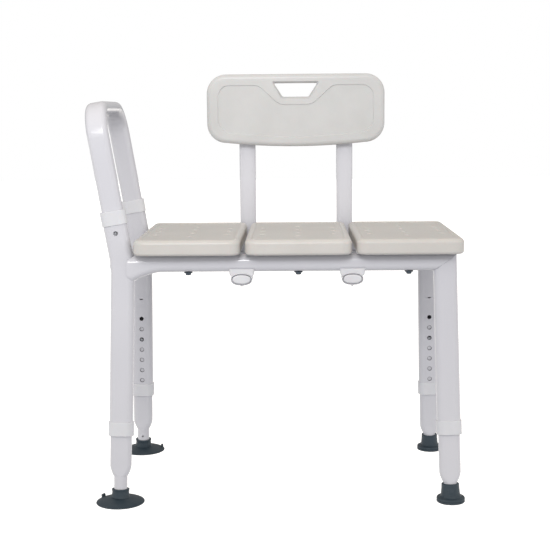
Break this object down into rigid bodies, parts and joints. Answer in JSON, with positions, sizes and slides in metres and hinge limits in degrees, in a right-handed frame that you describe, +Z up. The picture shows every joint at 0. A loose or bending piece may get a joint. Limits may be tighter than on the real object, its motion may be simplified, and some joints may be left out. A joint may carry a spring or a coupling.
{
  "type": "bath transfer bench",
  "caption": "Bath transfer bench with slatted plastic seat panels, a pull-out backrest, a lift-off side handrail and height-adjustable splayed legs on suction cups and rubber tips.",
  "frame": {"origin": "centre of the whole object seen from above, at floor level", "axes": "+Z up, +X to the right seen from the front, +Y towards the backrest"},
  "size_m": [0.7934, 0.5, 0.9055],
  "materials": {
    "white_painted_tube": "gloss white paint on aluminium tube",
    "white_plastic": "smooth moulded",
    "ivory_plastic": "satin blow-moulded",
    "backrest_plastic": "satin blow-moulded",
    "dark_rubber": "matt",
    "plated_steel": "bright plated",
    "dark_steel": "blackened"
  },
  "bodies": {
    "frame": {"front_handrail_collar": "white_plastic", "front_left_backrest_sleeve": "white_plastic", "front_left_leg_collar": "white_plastic", "front_left_post": "white_painted_tube", "front_rail": "white_painted_tube", "front_right_backrest_sleeve": "white_plastic", "front_right_leg_collar": "white_plastic", "front_right_post": "white_painted_tube", "left_front_seat_bolt": "dark_steel", "left_rear_seat_bolt": "dark_steel", "left_seat_panel": "ivory_plastic", "left_side_rail": "white_painted_tube", "middle_front_seat_bolt": "dark_steel", "middle_rear_seat_bolt": "dark_steel", "middle_seat_panel": "ivory_plastic", "rear_handrail_collar": "white_plastic", "rear_left_backrest_sleeve": "white_plastic", "rear_left_leg_collar": "white_plastic", "rear_left_post": "white_painted_tube", "rear_rail": "white_painted_tube", "rear_right_backrest_sleeve": "white_plastic", "rear_right_leg_collar": "white_plastic", "rear_right_post": "white_painted_tube", "right_front_seat_bolt": "dark_steel", "right_rear_seat_bolt": "dark_steel", "right_seat_panel": "ivory_plastic", "right_side_rail": "white_painted_tube"},
    "front_left_leg": {"front_left_leg_extension": "white_painted_tube", "front_left_suction_cup": "dark_rubber", "front_left_leg_spring_clip": "plated_steel"},
    "front_left_leg_pin": {"front_left_leg_button": "plated_steel"},
    "rear_left_leg": {"rear_left_leg_extension": "white_painted_tube", "rear_left_suction_cup": "dark_rubber", "rear_left_leg_spring_clip": "plated_steel"},
    "rear_left_leg_pin": {"rear_left_leg_button": "plated_steel"},
    "front_right_leg": {"front_right_leg_extension": "white_painted_tube", "front_right_rubber_tip": "dark_rubber", "front_right_leg_spring_clip": "plated_steel"},
    "front_right_leg_pin": {"front_right_leg_button": "plated_steel"},
    "rear_right_leg": {"rear_right_leg_extension": "white_painted_tube", "rear_right_rubber_tip": "dark_rubber", "rear_right_leg_spring_clip": "plated_steel"},
    "rear_right_leg_pin": {"rear_right_leg_button": "plated_steel"},
    "handrail": {"handrail": "white_painted_tube", "front_handrail_spring_clip": "plated_steel", "rear_handrail_spring_clip": "plated_steel"},
    "front_handrail_pin": {"front_handrail_button": "plated_steel"},
    "rear_handrail_pin": {"rear_handrail_button": "plated_steel"},
    "backrest": {"backrest_panel": "backrest_plastic", "left_backrest_plug": "white_plastic", "left_backrest_tube": "white_painted_tube", "left_lower_backrest_screw": "plated_steel", "left_upper_backrest_screw": "plated_steel", "right_backrest_plug": "white_plastic", "right_backrest_tube": "white_painted_tube", "right_lower_backrest_screw": "plated_steel", "right_upper_backrest_screw": "plated_steel"},
    "left_backrest_pin": {"left_backrest_button": "plated_steel"},
    "right_backrest_pin": {"right_backrest_button": "plated_steel"}
  },
  "joints": [
    {"name": "front_left_leg_adjust", "type": "slide", "parent": "frame", "child": "front_left_leg", "axis": [-0.0234, -0.0837, -0.9962], "range_m": [-0.0508, 0.1016]},
    {"name": "front_left_leg_button_press", "type": "slide", "parent": "front_left_leg", "child": "front_left_leg_pin", "axis": [0, -0.9965, 0.0837], "range_m": [0, 0.006], "stiffness_N_per_m": 400, "springref_m": -0.005, "deforming": ["front_left_leg_spring_clip"]},
    {"name": "rear_left_leg_adjust", "type": "slide", "parent": "frame", "child": "rear_left_leg", "axis": [-0.0234, 0.0837, -0.9962], "range_m": [-0.0508, 0.1016]},
    {"name": "rear_left_leg_button_press", "type": "slide", "parent": "rear_left_leg", "child": "rear_left_leg_pin", "axis": [0, 0.9965, 0.0837], "range_m": [0, 0.006], "stiffness_N_per_m": 400, "springref_m": -0.005, "deforming": ["rear_left_leg_spring_clip"]},
    {"name": "front_right_leg_adjust", "type": "slide", "parent": "frame", "child": "front_right_leg", "axis": [0.0234, -0.0837, -0.9962], "range_m": [-0.0508, 0.1016]},
    {"name": "front_right_leg_button_press", "type": "slide", "parent": "front_right_leg", "child": "front_right_leg_pin", "axis": [0, -0.9965, 0.0837], "range_m": [0, 0.006], "stiffness_N_per_m": 400, "springref_m": -0.005, "deforming": ["front_right_leg_spring_clip"]},
    {"name": "rear_right_leg_adjust", "type": "slide", "parent": "frame", "child": "rear_right_leg", "axis": [0.0234, 0.0837, -0.9962], "range_m": [-0.0508, 0.1016]},
    {"name": "rear_right_leg_button_press", "type": "slide", "parent": "rear_right_leg", "child": "rear_right_leg_pin", "axis": [0, 0.9965, 0.0837], "range_m": [0, 0.006], "stiffness_N_per_m": 400, "springref_m": -0.005, "deforming": ["rear_right_leg_spring_clip"]},
    {"name": "handrail_lift", "type": "slide", "parent": "frame", "child": "handrail", "axis": [-0.1633, 0, 0.9866], "range_m": [0, 0.33]},
    {"name": "front_handrail_button_press", "type": "slide", "parent": "handrail", "child": "front_handrail_pin", "axis": [0, 1, 0], "range_m": [0, 0.006], "stiffness_N_per_m": 400, "springref_m": -0.005, "deforming": ["front_handrail_spring_clip"]},
    {"name": "rear_handrail_button_press", "type": "slide", "parent": "handrail", "child": "rear_handrail_pin", "axis": [0, -1, 0], "range_m": [0, 0.006], "stiffness_N_per_m": 400, "springref_m": -0.005, "deforming": ["rear_handrail_spring_clip"]},
    {"name": "backrest_pull_out", "type": "slide", "parent": "frame", "child": "backrest", "axis": [0, 1, 0], "range_m": [0, 0.42]},
    {"name": "left_backrest_button_press", "type": "slide", "parent": "backrest", "child": "left_backrest_pin", "axis": [0, 0, 1], "range_m": [0, 0.006], "stiffness_N_per_m": 400, "springref_m": -0.005},
    {"name": "right_backrest_button_press", "type": "slide", "parent": "backrest", "child": "right_backrest_pin", "axis": [0, 0, 1], "range_m": [0, 0.006], "stiffness_N_per_m": 400, "springref_m": -0.005}
  ]
}
